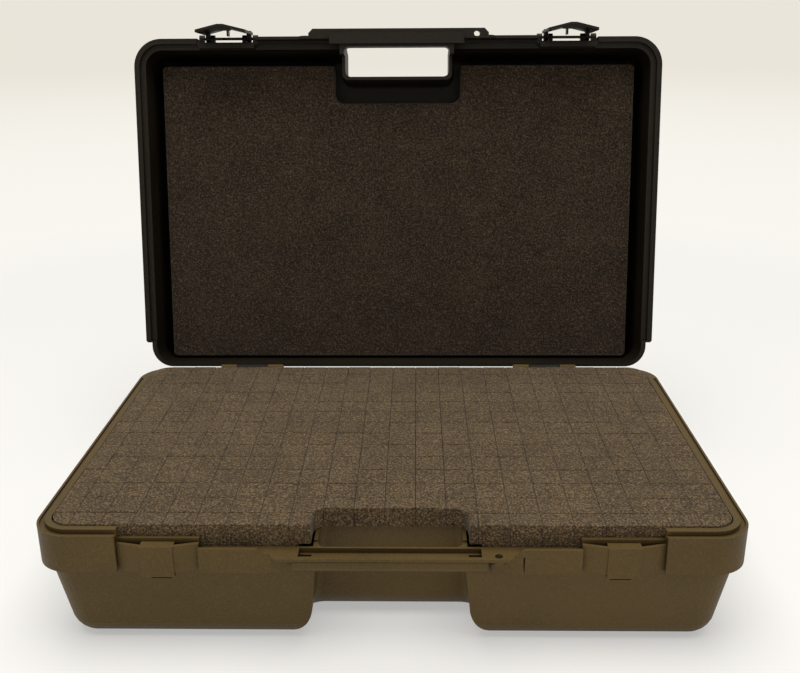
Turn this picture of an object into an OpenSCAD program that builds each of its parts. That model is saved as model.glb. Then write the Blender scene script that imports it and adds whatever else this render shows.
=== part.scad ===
// Carry case for an otoscope set: two moulded half shells, foam lining,
// a split carry handle and two snap latches. The lid is drawn leaning back on its open stop.

/* [Case] */
// Width of the case across the rim
case_w = 456; // [420:1:500]
// Depth of the case across the rim, front to back
case_d = 287.6; // [270:0.1:330]
// Height of the base from its underside to the parting plane
base_h = 86.5; // [80:0.5:110]
// Height of the lid above the parting plane
lid_h = 50; // [46:1:64]
// Corner radius of the rim in plan
corner_r = 24; // [21:1:30]
// Thickness of the tub walls and floors
wall = 3; // [2.4:0.1:3.5]
// Thickness of the plain rear wall at the parting plane
rear_wall = 3.5; // [3:0.1:4.5]

/* [Rim] */
// Height of the skirt round the base's rim
base_skirt_h = 26; // [22:1:30]
// Height of the skirt round the lid's rim
lid_skirt_h = 22; // [18:1:24]
// Thickness of the skirt and of the flange that carries it
skirt_t = 2.4; // [2:0.1:3]
// How far the tub wall stands in from the skirt's face
skirt_step = 5.3; // [4.8:0.1:5.6]
// Width of the ledge that the lid's lip rests on
ledge_w = 5; // [4.4:0.1:5.4]
// Width of the raised tongue inside the ledge
tongue_w = 4.4; // [4:0.1:5]
// Height of the tongue above the ledge
tongue_h = 2; // [1.4:0.1:2.6]
// Gap all round between the tongue and the lid
tongue_clear = 0.4; // [0.3:0.05:0.6]
// Width of the outer lip left beside the groove in the ledge
lip_w = 1.6; // [1.4:0.1:1.8]
// Depth of the groove that the lid's rib enters
groove_d = 1.2; // [1:0.1:1.4]
// Length of each rear corner that the lid's skirt leaves free
skirt_end = 22; // [16:1:26]
// Gap left between the two rims when the case is shut
rim_gap = 0.2; // [0.1:0.05:0.4]
// Length of each rear corner that has no tongue
tongue_end = 24; // [18:1:34]

/* [Tub form] */
// How far the base's walls lean in between skirt and floor
base_lean_in = 6.5; // [4:0.5:10]
// Radius along the bottom edges of the base
base_edge_r = 19; // [12:0.5:21]
// How far the lid's walls lean in between skirt and top
lid_lean_in = 3.5; // [2:0.5:6]
// Radius along the top edges of the lid
lid_edge_r = 12; // [9:0.5:14]
// How far the lid's rear wall leans in
lid_rear_lean = 1; // [0.5:0.5:3]

/* [Hand recess] */
// Width of the hand hole beside the handle
recess_w = 92; // [86:0.5:104]
// Depth of the hand hole behind the handle
recess_d = 23.2; // [22:0.1:34]
// Corner radius of the hand hole
recess_r = 5; // [3:0.5:8]
// Extra width of the recess at the base's underside, each side
recess_flare = 8; // [2:0.5:9]
// Extra depth of the recess at the base's underside
recess_lean = 7.5; // [5:0.5:14]
// Radius along the foot of the recess in the base
recess_foot_r = 29; // [14:0.5:30]
// Thickness of the wall round the recess
recess_wall = 2.6; // [2.2:0.1:3.2]
// How much the hand hole is narrower in the lid, each side
lid_recess_in = 1; // [0:0.1:1.5]
// Radius along the foot of the recess in the lid
lid_foot_r = 8; // [5:0.5:12]
// Height of the recess wall's top below the parting plane
recess_drop = 11; // [9:0.5:11.5]

/* [Handle] */
// Height of the handle's mating plane below the parting plane
handle_drop = 12.3; // [11:0.1:14]
// How far the handle stands out of the skirt's face
handle_reach = 5.7; // [4.5:0.1:7]
// Depth of the handle bar, front to back
bar_d = 14.8; // [13:0.1:16]
// Height of the handle bar in each half
bar_h = 9.6; // [8:0.1:11]
// Length of the grip face on the handle bar
grip_l = 122; // [112:1:130]
// Reach of the handle's tab to the left of the middle
tab_left = 75; // [72:0.5:78]
// Reach of the handle's tab to the right of the middle
tab_right = 78; // [76:0.5:82]
// Length of the sloping ends of the tab
tab_slope = 3.6; // [2:0.1:5]
// Thickness of the tab in each half
tab_t = 2; // [1.5:0.1:2.6]
// Drop of the front rim between the latches, below the parting plane
front_drop = 9; // [8:0.5:10]
// Width of the front section whose rim is lowered further for the handle
handle_zone_w = 160; // [156:1:176]
// Length of the slope at each end of that section
zone_slope = 4; // [2:0.5:8]
// Land in front of the channel along the top of the base's bar
channel_land = 3.3; // [2.6:0.1:4]
// Depth of the channel along the top of the base's bar
channel_depth = 3.4; // [2.8:0.1:4]
// Gap all round between the lid's plug and that channel
plug_clear = 0.4; // [0.3:0.05:0.6]
// Width of the ears that carry the bar, beside the hand hole
ear_w = 3.6; // [3:0.1:5]
// How far the ears reach behind the bar
ear_l = 6; // [5:0.5:10]
// Thickness of the channel's inner wall
channel_wall = 1.7; // [1.2:0.1:2.2]

// Radius along the outer edge of the grip face
grip_edge_r = 3; // [2:0.1:3.6]
// How far the grip face is set back from the tab
grip_set = 0.7; // [0.4:0.1:1.2]
// Distance from the ends of the grip face to the ends of the channel
channel_end = 3.5; // [2:0.5:6]
// Length of the rising stretch of the band's lower edge beside the hand recess
band_rise_l = 14; // [8:1:20]

/* [Padlock eye] */
// Radius of the padlock hole
eye_r = 2.5; // [2:0.1:3]
// Place of the padlock hole along the handle
eye_x = 68; // [66:0.5:70]
// Distance of the hole's centre from the handle's front edge
eye_inset = 4.4; // [4.2:0.1:5]
// Wall left round the hole
eye_wall = 1.8; // [1.4:0.1:2]
// Length of the hole in each half
eye_l = 5; // [4:0.5:7]
// Width of the two slots in the base's band beside the padlock hole
slot_w = 1; // [0.8:0.1:1.6]

/* [Latches] */
// Distance of each latch from the middle of the case
latch_x = 146.5; // [144:0.5:160]
// Width of each latch flap
flap_w = 41.6; // [38:0.2:44]
// Gap at each side between the flap and its pocket
flap_side_gap = 5.2; // [4.6:0.1:6]
// Depth of the latch pocket behind the skirt's face
pocket_d = 3.4; // [3:0.1:3.8]
// Thickness of the flap
flap_t = 2.2; // [2:0.1:2.6]
// Rise of the flap's ridge over its sides
flap_rise = 4.4; // [3.8:0.1:4.5]
// Width of the flat along the flap's ridge
ridge_w = 5; // [3:0.5:10]
// Distance from the pivot to the inside of the ridge
ridge_off = 7.5; // [7.4:0.1:9]
// Length of the flap from the pivot to its free end
flap_l = 40; // [38.5:0.1:42]
// Lean of the latched flap towards the case, in degrees
latched_lean = 7; // [6:0.5:7]
// How far the flap is lifted off its keeper in the drawn pose, in degrees
rest_lift = 1.9; // [1.8:0.1:4]
// Height of the pivot above the parting plane
pivot_up = 9; // [8:0.5:10]
// Distance of the pivot in front of the skirt's face
pivot_out = 0.8; // [0.5:0.1:1.2]
// Radius of the latch pin
latch_pin_r = 1.2; // [1:0.05:1.4]
// Radius of the flap's barrels and of the lid's lugs
barrel_r = 3.1; // [2.8:0.1:3.3]
// Half the gap between the two lugs
lug_gap = 12; // [11:0.5:13]
// Thickness of each lug and of each barrel
lug_t = 3.6; // [3:0.1:4]
// Thickness of the outer lug at each end of the pin
outer_lug_t = 4.2; // [3:0.1:4.6]
// Gap between a lug and its barrel
lug_side_gap = 0.4; // [0.3:0.05:0.6]
// Running clearance of the pin in the flap
pin_clear = 0.05; // [0.03:0.01:0.08]

/* [Keepers] */
// Width of the keeper block
keeper_w = 21; // [18:0.5:22]
// How far the keeper block stands out of the skirt's face
keeper_out = 1.3; // [1:0.1:1.5]
// Top of the keeper below the parting plane
keeper_top = 7; // [6:0.5:8]
// Bottom of the keeper block below the parting plane
keeper_low = 28.5; // [27.5:0.5:29.5]
// Step between the keeper block and the slopes beside it
keeper_step = 1; // [0.6:0.1:1.4]
// How far the claw reaches under the keeper
claw_bite = 0.8; // [0.6:0.1:0.9]
// Gap between the claw and the keeper's underside
claw_gap = 0.3; // [0.2:0.05:0.4]
// Thickness of the flap's middle rib
rib_t = 1.2; // [1:0.1:2]
// Width of the claw
claw_w = 18; // [14:0.5:20]
// Top of the inner rail behind the keeper, below the parting plane
rail_drop = 5; // [4:0.5:6]
// Thickness of that rail
rail_t = 2.6; // [2.2:0.1:3]

/* [Hinges] */
// Distance of each hinge from the middle of the case
hinge_x = 132; // [110:1:150]
// Length of each hinge
hinge_l = 56; // [46:1:64]
// Length of the lid's knuckle in each hinge
knuckle_l = 27; // [21:1:31]
// Radius of the knuckles
knuckle_r = 3.2; // [3:0.1:3.6]
// Radius of the hinge pins
hinge_pin_r = 1.25; // [1:0.05:1.5]
// Distance of the hinge axis behind the rear wall
axis_out = 1.2; // [1.1:0.1:1.6]
// Gap at the ends and round the outside of each knuckle
knuckle_gap = 0.5; // [0.4:0.05:0.7]
// Opening angle of the lid at its stop, in degrees
open_angle = 100.6; // [95:0.1:110]
// Gap between the lid's heel and the rear wall at the stop
heel_gap = 0.2; // [0.15:0.05:0.4]

/* [Foam] */
// Height of the cubed foam above the parting plane
foam_up = 3; // [1:0.5:4]
// Thickness of the cubed foam block
cubed_foam_t = 50; // [40:1:56]
// Pitch of the pre-cut cubes
cube_pitch = 20; // [12:1:30]
// Width of the cuts between the cubes
slit_w = 0.6; // [0.4:0.1:1]
// Depth of the cuts between the cubes
slit_depth = 42; // [10:1:48]
// Gap between the foam and the shell round it
foam_clear = 0.4; // [0.3:0.1:0.8]
// Gap between the shut lid's recess wall and the cubed foam
foam_wall_gap = 0.5; // [0.3:0.1:1]
// Sideways shift of the cutting grid
grid_shift_x = -4; // [-9:0.5:9]
// Front to back shift of the cutting grid
grid_shift_y = 1.4; // [-9:0.2:9]
// Width of the flat foam sheet in the lid
lid_foam_w = 419; // [380:1:424]
// Thickness of the lid foam
lid_foam_t = 25; // [15:1:30]
// Distance from the lid foam to the lid's rear outer face
lid_foam_rear = 5.4; // [5.2:0.2:8]
// Width of the lid foam's notch round the hand hole
lid_notch_w = 112; // [104:1:124]
// Distance from the hand hole to the rear edge of that notch
lid_notch_back = 20.8; // [16:0.2:24]
// Corner radius of the foam notches
notch_r = 9; // [3:0.5:12]
// Distance from the lid foam to the lid's front outer face
lid_foam_front = 20.4; // [18:0.2:26]

/* [Hidden] */
$fn = 64;
hull_fn = 32;
// The recess's round foot runs this far past the outer face and the wall, so that it leaves a clean edge
foot_sink = 0.1;
// Step that keeps the top of a leaning wall just inside the rim plate above it
wall_step = 0.1;
// Gap at each end of the lid's lowered front skirt
rim_side_gap = 0.3;
// Bevel at the ends of the lid's skirt
skirt_bevel = 1.5;

plastic_color = "#3a3128";
foam_color = "#4a4038";
steel_color = "#b8b8b8";

// Places shared by both halves, in the frame of the shut case
front_y = -case_d / 2;
rear_y = case_d / 2;
rim_w = ledge_w + tongue_w;
inner_front = front_y + rim_w;
inner_rear = rear_y - rear_wall;
axis_y = rear_y + axis_out;
bar_front = front_y - handle_reach;
bar_rear = bar_front + bar_d;
hole_rear = bar_rear + recess_d;
lid_hole_half = recess_w / 2 - lid_recess_in;
ear_rear = bar_rear + ear_l;
pocket_w = flap_w + 2 * flap_side_gap;
zone_half = latch_x - pocket_w / 2;
eye_y = bar_front + eye_inset;
slot_places = [eye_x - 5, eye_x + 16];
pivot_y = front_y - pivot_out;
channel_l = grip_l - 2 * channel_end;
front_step_rise = handle_drop - front_drop;
lid_inner_z = lid_h - wall;

// The latch pin ends inside the outer lugs
pin_half = flap_w / 2 + lug_side_gap + outer_lug_t - 0.6;

// Claw corner in the flap's own frame, worked out from where it sits when latched
claw_dy = front_y - keeper_out + claw_bite - pivot_y;
claw_dz = -(pivot_up + keeper_low + claw_gap);
claw_y = claw_dy * cos(latched_lean) + claw_dz * sin(latched_lean);
claw_z = -claw_dy * sin(latched_lean) + claw_dz * cos(latched_lean);

// A rectangle with round corners, measured in from the rim's outline
module plan(side_in, rear_in, r) {
    w = case_w - 2 * side_in;
    d = case_d - side_in - rear_in;
    translate([0, (side_in - rear_in) / 2]) {
        square([w, d - 2 * r], center = true);
        square([w - 2 * r, d], center = true);
        for (x = [-1, 1], y = [-1, 1])
            translate([x * (w / 2 - r), y * (d / 2 - r)]) circle(r);
    }
}

module plate(side_in, rear_in, r, z0, z1) {
    translate([0, 0, z0]) linear_extrude(z1 - z0) plan(side_in, rear_in, r);
}

// A tub with leaning walls and round bottom edges, from z = skin up to z_top
module tub(side_in, rear_in, r, z_top, lean_in, rear_lean, edge_r, skin) {
    cx = case_w / 2 - skirt_step - lean_in - edge_r;
    y_front = front_y + skirt_step + lean_in + edge_r;
    y_rear = rear_y - rear_lean - edge_r;
    hull() {
        for (x = [-1, 1]) {
            for (y = [front_y + side_in + r, rear_y - rear_in - r])
                translate([x * (case_w / 2 - side_in - r), y, z_top - 1])
                    cylinder(r = r - wall_step, h = 1, $fn = hull_fn);
            for (y = [y_front, y_rear])
                translate([x * cx, y, edge_r]) sphere(edge_r - skin, $fn = hull_fn);
        }
    }
}

// The rounded foot of a recess wall: a strip under a quarter circle
module foot_profile(r, skin) {
    difference() {
        translate([-1, -1]) square([r + 1, r + 1]);
        translate([r - foot_sink, r - foot_sink]) circle(r - skin);
    }
}

// The space of the hand recess, grown by skin to give its wall. z = 0 is the outer face
module recess(h, z_top, half, flare, lean, foot_r, skin) {
    share = 1 - foot_r / h;
    foot_half = half + flare * share;
    foot_rear = hole_rear + lean * share;
    depth = foot_rear - front_y + 20;
    hull() {
        recess_plate(half + skin, hole_rear + skin, z_top - 1);
        recess_plate(half + flare + skin, hole_rear + lean + skin, -1);
    }
    for (s = [0, 1]) mirror([s, 0, 0]) {
        translate([foot_half, foot_rear - recess_r, 0]) rotate([90, 0, 0])
            linear_extrude(depth) foot_profile(foot_r, skin);
        translate([foot_half - recess_r, foot_rear - recess_r, 0]) rotate_extrude()
            translate([recess_r, 0]) foot_profile(foot_r, skin);
    }
    translate([-(foot_half - recess_r), foot_rear, 0]) rotate([90, 0, 90])
        linear_extrude(2 * (foot_half - recess_r)) foot_profile(foot_r, skin);
}

module recess_plate(half, y_rear, z) {
    r = recess_r;
    for (x = [-1, 1]) {
        translate([x * (half - r), y_rear - r, z]) cylinder(r = r, h = 1, $fn = hull_fn);
        translate([x * (half - r), front_y - 20, z]) cylinder(r = r, h = 1, $fn = hull_fn);
    }
}

// One moulded half, outer face down at z = 0 and parting plane at z = h
module half_shell(h, skirt_h, lean_in, rear_lean, edge_r, wall_top, half, flare, lean, foot_r, free_end) {
    z_skirt = h - skirt_h;
    r_wall = corner_r - skirt_step;
    r_in = corner_r - rim_w;
    difference() {
        union() {
            difference() {
                union() {
                    tub(skirt_step, 0, r_wall, z_skirt + 2, lean_in, rear_lean, edge_r, 0);
                    plate(skirt_step, 0, r_wall, z_skirt, h);
                }
                tub(rim_w, rear_wall, r_in, z_skirt + 2, lean_in, rear_lean, edge_r, wall);
                plate(rim_w, rear_wall, r_in, z_skirt + 1.5, h + 1);
            }
            difference() {
                plate(0, 0, corner_r, z_skirt, h);
                plate(skirt_t, skirt_t + free_end, corner_r - skirt_t, z_skirt - 1, h - skirt_t);
                plate(rim_w, rear_wall, r_in, z_skirt - 1, h + 1);
                if (free_end > 0) skirt_stop(rear_y - free_end, z_skirt - 1, h + 1);
            }
            intersection() {
                recess(h, wall_top + 2, half, flare, lean, foot_r, recess_wall);
                union() {
                    tub(skirt_step, 0, r_wall, z_skirt + 2, lean_in, rear_lean, edge_r, 0);
                    translate([-case_w / 2, bar_rear, z_skirt])
                        cube([case_w, case_d / 2, wall_top - z_skirt]);
                }
            }
        }
        recess(h, wall_top + 5, half, flare, lean, foot_r, 0);
    }
}

// Ends the skirt in front of the rear corners
module skirt_stop(y, z0, z1) {
    x = case_w / 2;
    b = skirt_bevel;
    translate([0, 0, z0]) linear_extrude(z1 - z0)
        polygon([[-x - 1, y - b - 1], [-x + b, y], [x - b, y], [x + 1, y - b - 1],
                 [x + 1, rear_y + 1], [-x - 1, rear_y + 1]]);
}

// Box that spans x0 to x1, y0 to y1 and z0 to z1
module block(x0, x1, y0, y1, z0, z1) {
    translate([x0, y0, z0]) cube([x1 - x0, y1 - y0, z1 - z0]);
}

// Gable outline of a keeper or a flap: a flat ridge between two slopes
module gable(half, ridge, side_y, ridge_y, t) {
    polygon([[-half, side_y], [-ridge, ridge_y], [ridge, ridge_y], [half, side_y],
             [half, side_y + t], [ridge, ridge_y + t], [-ridge, ridge_y + t], [-half, side_y + t]]);
}

// Round bar along X
module rod(x0, x1, r) {
    translate([x0, 0, 0]) rotate([0, 90, 0]) cylinder(r = r, h = x1 - x0);
}

module at_latches() {
    for (s = [-1, 1]) translate([s * latch_x, 0, 0]) children();
}

module at_hinges() {
    for (s = [-1, 1]) translate([s * hinge_x, axis_y, base_h]) children();
}

// Moves a shape drawn on the shut case to the open lid
module lid_pose() {
    translate([0, axis_y, base_h]) rotate([-open_angle, 0, 0])
        translate([0, -axis_y, -base_h]) children();
}

// Turns a lid drawn outer face down on to the parting plane
module lid_up() {
    translate([0, 0, base_h + lid_h]) mirror([0, 0, 1]) children();
}

module keeper() {
    z0 = base_h - base_skirt_h;
    z1 = base_h - keeper_top;
    half = pocket_w / 2;
    slope_y = front_y - keeper_out + keeper_step;
    translate([0, 0, z0]) linear_extrude(z1 - z0)
        gable(half, keeper_w / 2, front_y + pocket_d, slope_y, skirt_t);
    block(-keeper_w / 2, keeper_w / 2, front_y - keeper_out, front_y + skirt_step + 0.6,
          base_h - keeper_low, z1);
    block(-half, half, front_y + pocket_d, inner_front, z0, z0 + skirt_t);
}

// Outline of the handle's tab in plan
module tab(z0, z1) {
    y0 = front_y + skirt_t / 2;
    y1 = bar_front + tab_slope;
    translate([0, 0, z0]) linear_extrude(z1 - z0)
        polygon([[-tab_left, y0], [-tab_left, y1], [-tab_left + tab_slope, bar_front],
                 [tab_right - tab_slope, bar_front], [tab_right, y1], [tab_right, y0]]);
}

// The base's half of the handle: a bar with a grip face under the tab
module base_handle() {
    z1 = base_h - handle_drop;
    z0 = z1 - bar_h;
    half = recess_w / 2 + ear_w;
    grip_y = bar_front + grip_set;
    tab(z1 - tab_t, z1);
    block(-half, half, grip_y + 1, bar_rear, z0, z1);
    translate([-grip_l / 2, 0, 0]) rotate([90, 0, 90]) linear_extrude(grip_l) {
        translate([grip_y + grip_edge_r, z0 + grip_edge_r]) circle(grip_edge_r);
        translate([grip_y, z0 + grip_edge_r]) square([bar_d / 3, bar_h - grip_edge_r - tab_t - grip_set]);
        translate([grip_y + grip_edge_r, z0]) square([bar_d / 3 - grip_edge_r, bar_h - tab_t / 2]);
    }
    translate([eye_x, eye_y, z1 - eye_l]) cylinder(r = eye_r + eye_wall, h = eye_l - tab_t / 2);
    hole_corners(recess_w / 2, z0, z1);
}

// Lowers the front rim: a shape across the front with sloping ends
module front_step(half, z_low, z_high, y0, y1) {
    translate([0, y1, 0]) rotate([90, 0, 0]) linear_extrude(y1 - y0)
        polygon([[-half, z_low], [half, z_low], [half + zone_slope, z_low + front_step_rise],
                 [half + zone_slope, z_high], [-half - zone_slope, z_high],
                 [-half - zone_slope, z_low + front_step_rise]]);
}

module base_rim_cuts() {
    z_low = base_h - handle_drop;
    at_latches() {
        half = pocket_w / 2;
        block(-half, half, front_y - 1, inner_front - rail_t, base_h - base_skirt_h + skirt_t, base_h + 5);
        block(-half, half, front_y - 1, front_y + pocket_d, base_h - base_skirt_h - 1, base_h + 5);
        block(-half, half, front_y - 1, inner_front + 1, base_h - rail_drop, base_h + 5);
    }
    block(-zone_half, zone_half, front_y - 1, inner_front + 1, base_h - front_drop, base_h + 5);
    block(-zone_half, zone_half, front_y + skirt_t, inner_front + 1, z_low, base_h + 5);
    front_step(handle_zone_w / 2, z_low, base_h + 5, front_y - 1, front_y + skirt_t + 1);
    block(-recess_w / 2 - 3, recess_w / 2 + 3, front_y - 1, ear_rear, z_low, base_h + 5);
    band_end_cuts();
}

// The band's lower edge rises to the grip at both sides of the hand recess
module band_end_cuts() {
    z0 = base_h - base_skirt_h;
    z1 = base_h - handle_drop - bar_h;
    x0 = recess_w / 2 - 1;
    for (s = [0, 1]) mirror([s, 0, 0]) translate([0, front_y + skirt_t + 0.5, 0]) rotate([90, 0, 0])
        linear_extrude(skirt_t + 2)
            polygon([[x0, z0 - 1], [x0 + band_rise_l, z0 - 1], [x0 + band_rise_l, z0],
                     [x0 + band_rise_l * 0.5, z0 + (z1 - z0) * 0.3], [x0, z1 - 0.3]]);
}

module base_shell() {
    z_low = base_h - handle_drop;
    color(plastic_color) difference() {
        union() {
            difference() {
                union() {
                    half_shell(base_h, base_skirt_h, base_lean_in, base_lean_in, base_edge_r,
                               base_h - recess_drop, recess_w / 2, recess_flare, recess_lean,
                               recess_foot_r, 0);
                    rim_tongue();
                    lowered_flange(z_low);
                }
                base_rim_cuts();
                rim_groove();
            }
            at_latches() keeper();
            base_handle();
            base_knuckles();
        }
        block(-channel_l / 2, channel_l / 2, bar_front + channel_land, bar_rear - channel_wall,
              z_low - channel_depth, z_low + 1);
        for (x = slot_places) block(x - slot_w / 2, x + slot_w / 2, front_y - 1, front_y + skirt_t + 0.5,
                                    base_h - base_skirt_h - 1, z_low - tab_t);
        translate([eye_x, eye_y, z_low - eye_l - 1]) cylinder(r = eye_r, h = eye_l + 2);
        at_latches() keeper_notch();
        at_hinges() rod(-knuckle_l / 2 - knuckle_gap, knuckle_l / 2 + knuckle_gap,
                        knuckle_r + knuckle_gap);
        at_hinges() rod(-hinge_l / 2 - 1, hinge_l / 2 + 1, hinge_pin_r);
    }
}

module rim_tongue() {
    difference() {
        plate(ledge_w, rear_wall + 1, corner_r - ledge_w, base_h - 1, base_h + tongue_h);
        plate(rim_w, rear_wall, corner_r - rim_w, base_h - 2, base_h + tongue_h + 1);
        block(-case_w, case_w, rear_y - tongue_end, rear_y + 1, base_h, base_h + tongue_h + 1);
        block(-latch_x - pocket_w / 2, latch_x + pocket_w / 2, front_y - 1, inner_front + 1,
              base_h, base_h + tongue_h + 1);
    }
}

// The flange between skirt and wall, lowered along the front between the latches
module lowered_flange(z_top) {
    difference() {
        block(-zone_half - 1, zone_half + 1, front_y + 1, inner_front - 1, z_top - skirt_t, z_top);
        block(-recess_w / 2 - recess_flare, recess_w / 2 + recess_flare, front_y, 0,
              z_top - skirt_t - 1, z_top + 1);
    }
}

// The groove in the ledge, between its outer lip and the tongue
module rim_groove() {
    difference() {
        plate(lip_w, rear_wall + 1, corner_r - lip_w, base_h - groove_d, base_h + 1);
        plate(ledge_w, rear_wall, corner_r - ledge_w, base_h - groove_d - 1, base_h + 2);
        block(-case_w, case_w, rear_y - tongue_end, rear_y + 1, base_h - groove_d - 1, base_h + 2);
    }
}

// The lid's rib that enters the groove
module rim_rib() {
    side_in = lip_w + tongue_clear;
    z0 = base_h - groove_d + tongue_clear;
    z1 = base_h + rim_gap + skirt_t / 2;
    x1 = latch_x + pocket_w / 2 + tongue_clear;
    difference() {
        plate(side_in, rear_wall + 1, corner_r - side_in, z0, z1);
        plate(ledge_w - tongue_clear, rear_wall, corner_r - ledge_w + tongue_clear, z0 - 1, z1 + 1);
        block(-case_w, case_w, rear_y - tongue_end - tongue_clear, rear_y + 1, z0 - 1, z1 + 1);
        block(-x1, x1, front_y - 1, inner_front, z0 - 1, z1 + 1);
    }
}

// Rounds the corners of the hand hole beside the bar
module hole_corners(half, z0, z1) {
    r = recess_r;
    for (s = [0, 1]) mirror([s, 0, 0]) difference() {
        block(half - r, half + ear_w / 2, bar_rear - 1, bar_rear + r, z0, z1);
        translate([half - r + foot_sink, bar_rear + r - foot_sink, z0 - 1]) cylinder(r = r, h = z1 - z0 + 2);
    }
}

module keeper_notch() {
    z1 = base_h - keeper_low - 1;
    translate([0, front_y + skirt_step + 3, z1]) rotate([90, 0, 0]) linear_extrude(12)
        polygon([[-5.5, 0], [5.5, 0], [6.8, -5], [-6.8, -5]]);
}

module base_knuckles() {
    at_hinges() for (s = [0, 1]) mirror([s, 0, 0]) {
        x0 = knuckle_l / 2 + knuckle_gap;
        rod(x0, hinge_l / 2, knuckle_r);
        translate([x0, 0, 0]) rotate([90, 0, 90]) linear_extrude(hinge_l / 2 - x0)
            polygon([[-axis_out - 1, -17], [-axis_out, -17], [knuckle_r - 0.3, -3], [0.4, -0.4],
                     [-axis_out - 1, -0.4]]);
    }
}

module lid_handle() {
    z0 = base_h - handle_drop + rim_gap;
    z1 = z0 + bar_h;
    half = lid_hole_half + ear_w;
    grip_y = bar_front + grip_set;
    plug_half = channel_l / 2 - plug_clear;
    tab(z0, z0 + tab_t);
    block(-half, half, grip_y + 1, bar_rear, z0, z1);
    translate([-grip_l / 2, 0, 0]) rotate([90, 0, 90]) linear_extrude(grip_l) {
        translate([grip_y + grip_edge_r, z1 - grip_edge_r]) circle(grip_edge_r);
        translate([grip_y, z0 + tab_t + grip_set]) square([bar_d / 3, bar_h - grip_edge_r - tab_t - grip_set]);
        translate([grip_y + grip_edge_r, z0 + tab_t / 2]) square([bar_d / 3 - grip_edge_r, bar_h - tab_t / 2]);
    }
    block(-plug_half, plug_half, bar_front + channel_land + plug_clear,
          bar_rear - channel_wall - plug_clear, z0 - channel_depth + plug_clear, z0 + 1);
    translate([eye_x, eye_y, z0 + tab_t / 2]) cylinder(r = eye_r + eye_wall, h = eye_l - tab_t / 2);
    for (s = [0, 1]) mirror([s, 0, 0])
        block(lid_hole_half, half, bar_rear - 1, ear_rear, z0, base_h + foam_up);
    hole_corners(lid_hole_half, z0, z1);
}

// The lid's front skirt, carried down to meet the base's lowered rim
module lid_front_skirt() {
    z_mid = base_h - front_drop + rim_gap;
    z_low = base_h - handle_drop + rim_gap;
    half = handle_zone_w / 2;
    x0 = recess_w / 2 + 1;
    for (s = [0, 1]) mirror([s, 0, 0])
        translate([0, front_y + skirt_t, 0]) rotate([90, 0, 0]) linear_extrude(skirt_t)
            polygon([[x0, z_low], [half, z_low], [half + zone_slope, z_mid],
                     [zone_half - rim_side_gap, z_mid], [zone_half - rim_side_gap, base_h + rim_gap + 1],
                     [x0, base_h + rim_gap + 1]]);
}

module latch_mount() {
    half = pocket_w / 2;
    x1 = flap_w / 2 + lug_side_gap;
    block(-half, half, front_y + pocket_d, front_y + skirt_step + 1, base_h + rim_gap, base_h + lid_skirt_h);
    block(-half + 2, half - 2, inner_front - tongue_w, inner_front - 0.5,
          base_h - rail_drop + 2 * rim_gap, base_h + 4);
    for (s = [0, 1]) mirror([s, 0, 0]) {
        lug(lug_gap, lug_gap + lug_t);
        lug(x1, x1 + outer_lug_t);
    }
}

module lug(x0, x1) {
    flat = barrel_r - 0.2;
    translate([0, pivot_y, base_h + pivot_up]) rod(x0, x1, barrel_r);
    block(x0, x1, pivot_y, front_y + pocket_d + 1, base_h + pivot_up - flat, base_h + pivot_up + flat);
}

module lid_knuckles() {
    half = knuckle_l / 2;
    at_hinges() {
        rod(-half, half, knuckle_r);
        translate([-half, 0, 0]) rotate([90, 0, 90]) linear_extrude(knuckle_l)
            polygon([[-axis_out - 1, 17], [-axis_out, 17], [knuckle_r - 0.3, 3], [0.4, 0.4],
                     [-axis_out - 1, 5]]);
        rotate([open_angle, 0, 0])
            block(-half + 1, half - 1, -axis_out + heel_gap, knuckle_r - 1, -9, -1.5);
    }
}

module lid_shell_shut() {
    z_rim = base_h + rim_gap;
    z_band = base_h + tongue_h + tongue_clear;
    difference() {
        union() {
            difference() {
                lid_up() half_shell(lid_h - rim_gap, lid_skirt_h - rim_gap, lid_lean_in,
                                    lid_rear_lean, lid_edge_r, lid_h - foam_up - foam_wall_gap,
                                    lid_hole_half, 0, 0, lid_foot_r, skirt_end);
                difference() {
                    plate(ledge_w - tongue_clear, rear_wall + 1, corner_r - ledge_w, base_h - 1, z_band);
                    block(-case_w, case_w, rear_y - tongue_end + tongue_clear, rear_y + 1,
                          base_h - 2, z_band + 1);
                    block(-recess_w / 2 - 9, recess_w / 2 + 9, inner_front, 0, base_h - 2, z_band + 1);
                }
                at_latches() block(-pocket_w / 2, pocket_w / 2, front_y - 1, front_y + pocket_d,
                                   base_h - 1, base_h + lid_skirt_h + 1);
            }
            at_latches() latch_mount();
            rim_rib();
            lid_front_skirt();
            lid_handle();
            lid_knuckles();
        }
        at_latches() translate([0, pivot_y, base_h + pivot_up]) rod(-pin_half - 0.2, pin_half + 0.2, latch_pin_r);
        translate([eye_x, eye_y, base_h - handle_drop - 1]) cylinder(r = eye_r, h = eye_l + 2);
        at_hinges() for (s = [0, 1]) mirror([s, 0, 0])
            rod((knuckle_l + knuckle_gap) / 2, hinge_l / 2 + knuckle_gap, knuckle_r + knuckle_gap);
        at_hinges() rod(-knuckle_l / 2 - 1, knuckle_l / 2 + 1, hinge_pin_r + pin_clear);
    }
}

module lid_shell() {
    color(plastic_color) lid_pose() lid_shell_shut();
}

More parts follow.
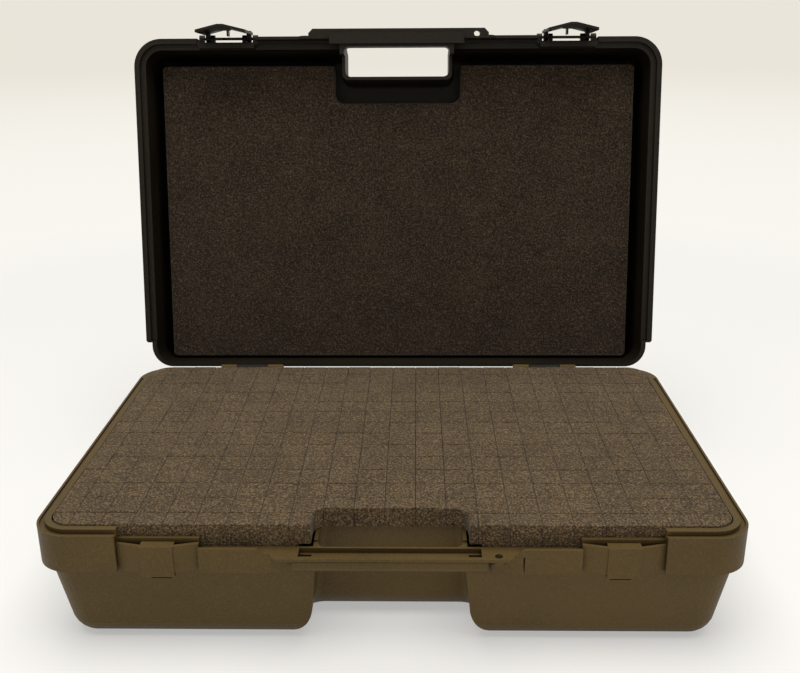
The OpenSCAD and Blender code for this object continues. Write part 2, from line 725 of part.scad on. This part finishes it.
module cubed_foam() {
    z1 = base_h + foam_up;
    z0 = z1 - cubed_foam_t;
    rim_in = rim_w + foam_clear;
    rear_in = rear_wall + foam_clear + 0.2;
    shrink = 3.4;
    r = corner_r - rim_in;
    color(foam_color) difference() {
        hull() {
            foam_plate(rim_in, rear_in, r, base_h - base_skirt_h, z1);
            foam_plate(rim_in + shrink, rear_in + shrink, r, z0, z0 + 1);
        }
        foam_notch(z0 - 1, z1 + 1);
        for (k = [-20:20]) {
            x = grid_shift_x + k * cube_pitch;
            if (abs(x) < case_w / 2 - rim_w - cube_pitch / 2)
                block(x - slit_w / 2, x + slit_w / 2, -case_d, case_d, z1 - slit_depth, z1 + 1);
            y = grid_shift_y + k * cube_pitch;
            if (y > inner_front + cube_pitch / 2 && y < inner_rear - cube_pitch / 2)
                block(-case_w, case_w, y - slit_w / 2, y + slit_w / 2, z1 - slit_depth, z1 + 1);
        }
    }
}

module foam_plate(side_in, rear_in, r, z0, z1) {
    translate([0, (side_in - rear_in) / 2, z0]) linear_extrude(z1 - z0) {
        w = case_w - 2 * side_in;
        d = case_d - side_in - rear_in;
        hull() for (x = [-1, 1], y = [-1, 1])
            translate([x * (w / 2 - r), y * (d / 2 - r)]) circle(r, $fn = hull_fn);
    }
}

// A block whose two rear corners are round
module notch(half, y0, y1, z0, z1) {
    r = notch_r;
    block(-half, half, y0, y1 - r, z0, z1);
    block(-half + r, half - r, y0, y1, z0, z1);
    for (x = [-1, 1]) translate([x * (half - r), y1 - r, z0]) cylinder(r = r, h = z1 - z0);
}

// The foam stands over the recess wall at the top and clears it below
module foam_notch(z0, z1) {
    half = recess_w / 2 + recess_wall + 1.4;
    ear_half = recess_w / 2 + ear_w + foam_clear;
    z_wall = base_h - recess_drop + foam_clear;
    notch(half, front_y, hole_rear - 1.2, z0, z1);
    block(-ear_half, ear_half, front_y, ear_rear + foam_clear, z0, z1);
    block(-half - recess_flare, half + recess_flare, front_y,
          hole_rear + recess_wall + recess_lean * 0.6 + foam_clear, z0, z_wall);
}

module foam_pad() {
    z1 = base_h + foam_up - cubed_foam_t - foam_clear;
    floor_in = rim_w + base_lean_in + base_edge_r;
    low_in = skirt_step + base_lean_in + wall + foam_clear;
    foot_half = recess_w / 2 + recess_flare + recess_foot_r;
    color(foam_color) difference() {
        hull() {
            foam_plate(low_in, base_lean_in + wall + foam_clear, base_edge_r - wall, base_edge_r, z1);
            foam_plate(floor_in, floor_in - rim_w, base_edge_r / 2, wall + foam_clear, wall + 2);
        }
        block(-foot_half, foot_half, front_y, hole_rear + recess_lean + recess_foot_r, 0, base_h);
    }
}

module lid_foam() {
    z0 = base_h + lid_inner_z - lid_foam_t;
    z1 = base_h + lid_inner_z - 0.3;
    y0 = front_y + lid_foam_front;
    y1 = rear_y - lid_foam_rear;
    edge = lid_edge_r - wall;
    color(foam_color) lid_pose() difference() {
        hull() {
            block(-lid_foam_w / 2, lid_foam_w / 2, y0, y1, z0, z1 - edge / 2);
            block(-lid_foam_w / 2 + edge, lid_foam_w / 2 - edge, y0 + 1, y1 - edge, z1 - 1, z1);
        }
        notch(lid_notch_w / 2, y0 - 1, hole_rear + lid_notch_back, z0 - 1, z1 + 1);
        lid_up() recess(lid_h - rim_gap, lid_h, lid_hole_half, 0, 0, lid_foot_r, recess_wall + foam_clear);
    }
}

module flap() {
    half = flap_w / 2;
    lug_end = lug_gap + lug_t + lug_side_gap;
    difference() {
        union() {
            translate([0, 0, -flap_l]) linear_extrude(flap_l + 2)
                gable(half, ridge_w / 2, -ridge_off + flap_rise - flap_t, -ridge_off - flap_t, flap_t);
            for (s = [0, 1]) mirror([s, 0, 0]) {
                rod(lug_end, lug_end + lug_t, barrel_r);
                block(lug_end, lug_end + lug_t, -ridge_off + 1, 0, -barrel_r + 0.2, barrel_r - 1.1);
            }
            block(-rib_t / 2, rib_t / 2, -ridge_off - 0.5, -latch_pin_r - 0.8, -7, 1.5);
            block(-claw_w / 2, claw_w / 2, -ridge_off - 0.5, claw_y, -flap_l + 0.5, claw_z);
        }
        rod(-flap_w, flap_w, latch_pin_r + pin_clear);
    }
}

module latch(side) {
    color(plastic_color) lid_pose()
        translate([side * latch_x, pivot_y, base_h + pivot_up])
            rotate([latched_lean - rest_lift, 0, 0]) flap();
}

module latch_pin(side) {
    half = pin_half;
    color(steel_color) lid_pose()
        translate([side * latch_x, pivot_y, base_h + pivot_up]) rod(-half, half, latch_pin_r);
}

module hinge_pin(side) {
    color(steel_color) translate([side * hinge_x, axis_y, base_h])
        rod(-hinge_l / 2 + 0.5, hinge_l / 2 - 0.5, hinge_pin_r);
}

module latch_left() {
    latch(-1);
}

module latch_right() {
    latch(1);
}

module latch_pin_left() {
    latch_pin(-1);
}

module latch_pin_right() {
    latch_pin(1);
}

module hinge_pin_left() {
    hinge_pin(-1);
}

module hinge_pin_right() {
    hinge_pin(1);
}

base_shell();
lid_shell();
cubed_foam();
foam_pad();
lid_foam();
latch_left();
latch_right();
latch_pin_left();
latch_pin_right();
hinge_pin_left();
hinge_pin_right();
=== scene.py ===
import math
import random

import bmesh
import bpy
from mathutils import Matrix, Vector, noise


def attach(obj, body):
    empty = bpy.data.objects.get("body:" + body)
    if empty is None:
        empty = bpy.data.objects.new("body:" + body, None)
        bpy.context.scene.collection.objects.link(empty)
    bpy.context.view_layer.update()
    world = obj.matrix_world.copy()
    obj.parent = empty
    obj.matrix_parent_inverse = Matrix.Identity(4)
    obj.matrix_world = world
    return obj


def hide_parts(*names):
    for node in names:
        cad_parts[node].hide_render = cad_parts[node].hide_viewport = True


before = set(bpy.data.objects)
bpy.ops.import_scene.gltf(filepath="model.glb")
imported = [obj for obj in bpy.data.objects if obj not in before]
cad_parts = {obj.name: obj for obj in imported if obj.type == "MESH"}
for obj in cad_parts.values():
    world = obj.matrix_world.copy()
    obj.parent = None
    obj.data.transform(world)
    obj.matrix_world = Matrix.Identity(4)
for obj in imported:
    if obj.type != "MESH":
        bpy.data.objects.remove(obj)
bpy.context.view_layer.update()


# Camera
# The open case is seen from the front and a little above, with the eye just
# over the level of the lid's top edge.
camera_place = Vector((0.01669, -0.65854, 0.40114))
heading, tilt, roll = -0.018297, 0.340345, 0.006304
ahead = math.cos(tilt)
forward = Vector((math.sin(heading) * ahead, math.cos(heading) * ahead, -math.sin(tilt)))
level = Vector((math.cos(heading), -math.sin(heading), 0))
down = forward.cross(level)
right = level * math.cos(roll) + down * math.sin(roll)
up = level * math.sin(roll) - down * math.cos(roll)
camera = bpy.data.objects.new("camera", bpy.data.cameras.new("camera"))
camera.data.sensor_width, camera.data.lens = 36, 42.84
camera.data.clip_start = 0.01
turned = Matrix((right, up, -forward)).transposed().to_4x4()
camera.matrix_world = Matrix.Translation(camera_place) @ turned
bpy.context.scene.collection.objects.link(camera)
bpy.context.scene.camera = camera


# Base shell
# The lower half of the case: one thin injection-moulded shell with its floor,
# skirt, rim groove, hand recess and latch keepers. Dark olive-brown plastic
# with a fine spark-eroded grain, dull where it has been handled.
def colour(red, green, blue):
    """A colour as a paint chart gives it, 0 to 255, in the renderer's own even scale."""
    even = []
    for part in (red / 255, green / 255, blue / 255):
        even.append(part / 12.92 if part <= 0.04045 else ((part + 0.055) / 1.055) ** 2.4)
    return (*even, 1)


class Wire:
    """One output of a shader node, so that a pattern reads as a sum."""

    def __init__(self, tree, socket=None):
        self.tree = tree
        self.socket = socket

    def node(self, kind, settings=None, output=0, **inputs):
        """Adds a node, sets what it works by, joins or fills its inputs, and gives one output."""
        made = self.tree.nodes.new("ShaderNode" + kind)
        for name, value in (settings or {}).items():
            setattr(made, name, value)
        for name, value in inputs.items():
            named = [s for s in made.inputs if s.enabled and name in (s.name.replace(" ", "_"), s.identifier)]
            if isinstance(value, Wire):
                self.tree.links.new(value.socket, named[0])
            else:
                named[0].default_value = value
        if isinstance(output, str):
            return Wire(self.tree, made.outputs[output])
        shown = [s for s in made.outputs if s.enabled]
        return Wire(self.tree, shown[output] if shown else None)

    def maths(self, operation, first, second):
        return self.node("Math", {"operation": operation}, Value=first, Value_001=second)

    def __add__(self, other):
        return self.maths("ADD", self, other)

    def __sub__(self, other):
        return self.maths("SUBTRACT", self, other)

    def __rsub__(self, other):
        return self.maths("SUBTRACT", other, self)

    def __mul__(self, other):
        return self.maths("MULTIPLY", self, other)

    __radd__, __rmul__ = __add__, __mul__

    def between(self, low, high):
        """0 below low, 1 above high, smooth between."""
        smooth = {"interpolation_type": "SMOOTHSTEP"}
        return self.node("MapRange", smooth, Value=self, From_Min=low, From_Max=high)

    def tint(self, first, second):
        """The first colour where this is 0, the second where it is 1."""
        return self.node("Mix", {"data_type": "RGBA"}, Factor_Float=self, A_Color=first, B_Color=second)

    def noise(self, scale, detail, roughness):
        """Cloudy grain, with that many grains to the metre where this is a place on the piece."""
        return self.node("TexNoise", Vector=self, Scale=scale, Detail=detail, Roughness=roughness)


def new_finish(name):
    """An empty material, and the place on the piece that its patterns are drawn by."""
    material = bpy.data.materials.new(name)
    material.use_nodes = True
    material.node_tree.nodes.clear()
    return material, Wire(material.node_tree).node("TexCoord", output="Object")


def moulded_plastic(name, body, worn, dusty, crevice_shade_colour):
    """Grained polypropylene: fine pits, slow cloudiness, short pale scuffs, painted shade in corners."""
    material, place = new_finish(name)
    cloud = place.noise(9, 4, 0.55).between(0.35, 0.7)
    pits = place.noise(900, 3, 0.6)
    grain = place.noise(430, 2, 0.5)
    rubbed = place.noise(14, 2, 0.5).between(0.48, 0.62)
    strokes = place.node("Mapping", Vector=place, Rotation=(0.2, 0.1, 0.6), Scale=(1, 14, 6))
    scuffs = strokes.noise(42, 5, 0.7).between(0.63, 0.72) * rubbed
    specks = place.noise(900, 1, 0.4).between(0.72, 0.78)
    # Painted shade: ambient occlusion darkens the colour in corners, creases and recesses.
    open_air = place.node("AmbientOcclusion", {"samples": 6}, output="AO", Distance=0.016)
    crevice_shade = (1 - open_air).between(0.35, 0.85) * 0.85
    tone = cloud.tint(body, dusty)
    tone = (pits.between(0.4, 0.7) * 0.3).tint(tone, worn)
    tone = (scuffs * 0.3 + specks * 0.22).tint(tone, worn)
    tone = crevice_shade.tint(tone, crevice_shade_colour)
    height = pits * 0.5 + grain * 0.9 - scuffs * 0.2
    bump = place.node("Bump", Strength=0.6, Distance=0.0004, Height=height)
    dullness = 0.43 + cloud * 0.1 + scuffs * 0.16 + grain * 0.08
    surface = place.node("BsdfPrincipled", Base_Color=tone, Roughness=dullness, Normal=bump,
                         Specular_IOR_Level=0.16)
    surface.node("OutputMaterial", Surface=surface)
    return material


def dress(material, *nodes):
    """Gives CAD pieces their finish, in every slot that they have."""
    for node in nodes:
        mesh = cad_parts[node].data
        if not mesh.materials:
            mesh.materials.append(material)
        for slot in range(len(mesh.materials)):
            mesh.materials[slot] = material


olive, olive_worn = colour(76, 61, 31), colour(112, 93, 60)
# The last tone is the painted shade in corners and recesses.
olive_dusty, olive_crevice_shade = colour(86, 69, 38), colour(22, 17, 9)
dress(moulded_plastic("base_plastic", olive, olive_worn, olive_dusty, olive_crevice_shade), "base_shell")


# Hinge pins
# Two short steel pins, cut from drawn wire, coloured dark, and pressed into
# the base's rear knuckles. The lid's knuckles turn on them.
def drawn_steel(name):
    """Dull dark wire: fine rings of the drawing die, and a little stain."""
    material, place = new_finish(name)
    rings = place.node("Mapping", Vector=place, Scale=(12, 1, 1)).noise(260, 3, 0.6)
    stain = place.noise(180, 3, 0.5).between(0.45, 0.7)
    tone = stain.tint(colour(74, 70, 64), colour(52, 48, 42))
    bump = place.node("Bump", Strength=0.2, Distance=0.00005, Height=rings)
    dullness = 0.36 + rings * 0.16 + stain * 0.12
    surface = place.node("BsdfPrincipled", Base_Color=tone, Roughness=dullness, Normal=bump, Metallic=1.0)
    surface.node("OutputMaterial", Surface=surface)
    return material


pin_steel = drawn_steel("pin_steel")
dress(pin_steel, "hinge_pin_left", "hinge_pin_right")


# Bottom foam pad
# A soft open-cell foam sheet that fills the foot of the base under the cubed
# foam, cut round the hand recess and laid in loose.
def cut_sheet(bm, half, front, rear, corner, notch_half, notch_rear, high):
    """The sheet's outline at one height, with round corners and the gap for the hand recess."""
    notch_corner, arc_steps = 0.009, 8
    outline = [(-half, rear), (-half, front), (-notch_half, front), (-notch_half, notch_rear),
               (notch_half, notch_rear), (notch_half, front), (half, front), (half, rear)]
    points = [bm.verts.new((x, y, high)) for x, y in outline]
    bm.faces.new(points)
    for chosen, radius in ((points[:2] + points[6:], corner), (points[3:5], notch_corner)):
        bmesh.ops.bevel(bm, geom=chosen, offset=radius, offset_type="OFFSET", segments=arc_steps,
                        profile=0.5, affect="VERTICES", material=-1)


def thicken(bm, low):
    """Draws the sheet down to that height, as closed blocks, and gives the faces at the top."""
    middle = (low + max(vert.co.z for vert in bm.verts)) / 2
    made = bmesh.ops.extrude_face_region(bm, geom=bm.faces[:])
    for part in made["geom"]:
        if isinstance(part, bmesh.types.BMVert):
            part.co.z = low
    bmesh.ops.recalc_face_normals(bm, faces=bm.faces)
    return [face for face in facing(bm, 1) if face.calc_center_median().z > middle]


def facing(bm, way):
    """The sheet's faces that look straight up, 1, or straight down, -1."""
    return [face for face in bm.faces if face.normal.z * way > 0.9]


def soften(bm, faces, offset, segments):
    """Rounds the edges round those faces, as a blade leaves them in foam."""
    inside = set(faces)
    rim = {edge for face in faces for edge in face.edges if not inside.issuperset(edge.link_faces)}
    bmesh.ops.bevel(bm, geom=list(rim), offset=offset, offset_type="OFFSET", segments=segments,
                    profile=0.5, affect="EDGES", clamp_overlap=True, material=-1)


def foam_finish(name, body, pore_shade_colour, fibre, grains):
    """Open-cell foam: pale cell walls and painted shade in the pores, grains of them to the metre."""
    material, place = new_finish(name)
    cells = place.node("TexVoronoi", {"feature": "F1"}, Vector=place, Scale=grains, Randomness=1.0)
    fine = place.noise(grains * 1.3, 2, 0.7)
    clumps = place.noise(grains * 0.6, 2, 0.6)
    patches = place.noise(30, 3, 0.5).between(0.3, 0.7) * 0.12
    walls = fine.between(0.5, 0.66) * 0.75 + patches
    # Painted shade: the pores are darkened for the shade inside the open cells.
    pore_shade = (1 - fine.between(0.34, 0.5)) * 0.75 + (1 - cells.between(0.08, 0.4)) * 0.2
    tone = pore_shade.tint(walls.tint(body, fibre), pore_shade_colour)
    height = cells * 0.4 + fine * 0.9 + clumps * 0.5
    bump = place.node("Bump", Strength=0.9, Distance=0.001, Height=height)
    surface = place.node("BsdfPrincipled", Base_Color=tone, Roughness=0.88 + fine * 0.1, Normal=bump,
                         Specular_IOR_Level=0.1, Sheen_Weight=0.12, Sheen_Roughness=0.6)
    surface.node("OutputMaterial", Surface=surface)
    return material


def lay_in(bm, name, material, body, node):
    """Makes the mesh an object, which rides on its half of the case and stands for its CAD solid."""
    bmesh.ops.recalc_face_normals(bm, faces=bm.faces)
    mesh = bpy.data.meshes.new(name)
    bm.to_mesh(mesh)
    bm.free()
    mesh.materials.append(material)
    piece = bpy.data.objects.new(name, mesh)
    bpy.context.scene.collection.objects.link(piece)
    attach(piece, body)
    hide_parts(node)


brown, brown_pore_shade, brown_fibre = colour(76, 60, 40), colour(22, 16, 10), colour(138, 117, 86)
base_foam = foam_finish("base_foam", brown, brown_pore_shade, brown_fibre, 600)
pad = bmesh.new()
cut_sheet(pad, half=0.2086, front=-0.1244, rear=0.1297, corner=0.016, notch_half=0.0835, notch_rear=-0.0745,
          high=0.0391)
thicken(pad, 0.0036)
soften(pad, facing(pad, 1) + facing(pad, -1), 0.004, 3)
lay_in(pad, "bottom_pad", base_foam, "base", "foam_pad")


# Cubed foam
# The pick-out sheet: open-cell foam, 50 mm thick and die-cut from above into
# 20 mm squares that stay joined at the foot, pushed into the base by hand.
def slice_across(bm, direction, first, step, cuts):
    """Straight cuts through the whole sheet, square to that direction, at even steps."""
    for number in range(cuts):
        bmesh.ops.bisect_plane(bm, geom=bm.verts[:] + bm.edges[:] + bm.faces[:],
                               plane_co=direction * (first + number * step), plane_no=direction)


across, along = Vector((1, 0, 0)), Vector((0, 1, 0))
foam_top, cut_foot, foam_foot = 0.0895, 0.0757, 0.0397
foam_half, foam_front, foam_rear, foam_corner = 0.2180, -0.1338, 0.1395, 0.0145
square, slit, deepest_settling, square_edge = 0.020, 0.0003, 0.0003, 0.0006
random.seed(20)
squares = bmesh.new()
cut_sheet(squares, foam_half, foam_front, foam_rear, foam_corner, notch_half=0.0502, notch_rear=-0.1125,
          high=foam_top)
slice_across(squares, across, -0.204, square, 21)
slice_across(squares, along, -0.1186, square, 13)
cut = bmesh.ops.inset_individual(squares, faces=squares.faces[:], thickness=slit / 2, use_even_offset=True)
bmesh.ops.delete(squares, geom=cut["faces"], context="FACES")
square_tops = thicken(squares, cut_foot)
for face in square_tops:
    settling = random.uniform(0, deepest_settling)
    for vert in face.verts:
        vert.co.z -= settling
soften(squares, square_tops, square_edge, 2)

# Below the cuts the sheet is whole, and drawn in to follow the leaning walls.
uncut = bmesh.new()
cut_sheet(uncut, foam_half, foam_front, foam_rear, foam_corner, notch_half=0.0584, notch_rear=-0.1036,
          high=cut_foot - 0.0001)
thicken(uncut, foam_foot)
for vert in uncut.verts:
    if vert.co.z < (cut_foot + foam_foot) / 2:
        vert.co.x *= 0.985
        vert.co.y *= 0.975
uncut_mesh = bpy.data.meshes.new("uncut_foot")
uncut.to_mesh(uncut_mesh)
uncut.free()
squares.from_mesh(uncut_mesh)
lay_in(squares, "cube_sheet", base_foam, "base", "cubed_foam")


# Lid shell
# The upper half, moulded in one with a rib that enters the base's groove, its
# half of the carrying handle, the latch pockets and the hinge knuckles. It
# stands open against its stop, with its inside in its own shade; that shade is
# painted into its colour as darker copies of the base's plastic tones.
shaded_lid_body, shaded_lid_worn = colour(20, 16, 10), colour(48, 39, 27)
shaded_lid_dusty, shaded_lid_crevice_shade = colour(27, 22, 15), colour(5, 4, 3)
lid_plastic = moulded_plastic("lid_plastic", shaded_lid_body, shaded_lid_worn, shaded_lid_dusty, shaded_lid_crevice_shade)
dress(lid_plastic, "lid_shell")


# Lid foam
# A plain sheet of darker open-cell foam, 25 mm thick, its back edges trimmed
# to the lid's round corners, glued inside the lid over its whole face. It is
# cut as it lies in the shut lid and then swung open about the hinge line.
lid_face, lid_back, lid_trim = 0.1087, 0.1330, 0.009
lid_front, lid_patch = -0.1232, 0.010
hinge_line = Vector((0, 0.1450, 0.0865))
opening = Matrix.Rotation(math.radians(-100.6), 3, "X")
dark, dark_pore_shade, dark_fibre = colour(42, 33, 24), colour(10, 7, 5), colour(92, 76, 58)
sheet = bmesh.new()
cut_sheet(sheet, half=0.2093, front=lid_front, rear=0.1382, corner=0.004, notch_half=0.0562, notch_rear=-0.0905,
          high=lid_back)
thicken(sheet, lid_face)
soften(sheet, facing(sheet, 1), lid_trim, 3)
soften(sheet, facing(sheet, -1), 0.0022, 3)
slice_across(sheet, across, -0.20, lid_patch, 41)
slice_across(sheet, along, lid_front + lid_patch, lid_patch, 25)
for vert in sheet.verts:
    if vert.co.z < lid_face + 0.0001:
        vert.co.z += 0.0006 * (1 + noise.noise(vert.co * 24))
bmesh.ops.rotate(sheet, cent=hinge_line, matrix=opening, verts=sheet.verts)
lay_in(sheet, "lid_sheet", foam_finish("lid_foam", dark, dark_pore_shade, dark_fibre, 560), "lid", "lid_foam")


# Latches and their pins
# Two flaps moulded in the lid's plastic. They hang from its front edge on
# short steel pins and snap over the keepers of the base.
# They take the lid's darker copy of the plastic, with its painted shade.
dress(lid_plastic, "latch_left", "latch_right")
dress(pin_steel, "latch_pin_left", "latch_pin_right")


# Floor
# Cream-white paper that runs on behind the case and fades into the room. To
# the camera it is partly its own light, so it stays white and keeps a shadow.
def looked_at(place):
    """1 where the camera, a reflection or glass sees it, 0 where only light falls on it."""
    camera_ray = place.node("LightPath", output="Is Camera Ray")
    reflection = place.node("LightPath", output="Is Glossy Ray")
    return camera_ray + reflection + place.node("LightPath", output="Is Transmission Ray")


paper_near, paper_mid, paper_far = colour(255, 255, 254), colour(249, 246, 239), colour(234, 229, 218)
paper = bmesh.new()
bmesh.ops.create_circle(paper, cap_ends=True, segments=64, radius=14)
paper_mesh = bpy.data.meshes.new("paper")
paper.to_mesh(paper_mesh)
paper.free()
floor = bpy.data.objects.new("paper", paper_mesh)
bpy.context.scene.collection.objects.link(floor)
paper_finish, place = new_finish("paper")
reach = place.node("VectorMath", {"operation": "LENGTH"}, output="Value", Vector=place)
tone = reach.between(0.55, 1.4).tint(paper_near, paper_mid)
tone = reach.between(1.0, 6.0).tint(tone, paper_far)
lit = place.node("BsdfPrincipled", Base_Color=tone, Roughness=0.9, Specular_IOR_Level=0.0)
own_light = place.node("Emission", Color=tone, Strength=1.0)
share = looked_at(place) * (reach.between(0.5, 1.3) * 0.62 + 0.38)
paper_surface = place.node("MixShader", Fac=share, Shader=lit, Shader_001=own_light)
paper_surface.node("OutputMaterial", Surface=paper_surface)
paper_mesh.materials.append(paper_finish)


# Light
# One broad soft box overhead, a weaker one at the front, and a pale room.
def soft_box(name, place, aim, width, power):
    """A square lamp behind warm-white cloth, turned towards its aim."""
    lamp = bpy.data.objects.new(name, bpy.data.lights.new(name, "AREA"))
    lamp.data.shape = "SQUARE"
    lamp.data.size = width
    lamp.data.energy = power
    lamp.data.color = (1.0, 0.975, 0.93)
    lamp.location = place
    lamp.rotation_euler = (Vector(aim) - Vector(place)).to_track_quat("-Z", "Y").to_euler()
    bpy.context.scene.collection.objects.link(lamp)


soft_box("overhead", place=(0.0, -0.15, 1.75), aim=(0, 0, 0.1), width=1.6, power=26)
soft_box("front", place=(0.25, -1.9, 0.9), aim=(0, 0, 0.15), width=1.2, power=2.5)
world = bpy.data.worlds.new("room")
bpy.context.scene.world = world
world.use_nodes = True
world.node_tree.nodes.clear()
inside = Wire(world.node_tree)
strength = 0.42 + looked_at(inside).between(0.0, 1.0) * 0.58
room = inside.node("Background", Color=paper_far, Strength=strength)
room.node("OutputWorld", Surface=room)
bpy.context.scene.view_settings.view_transform = "Standard"
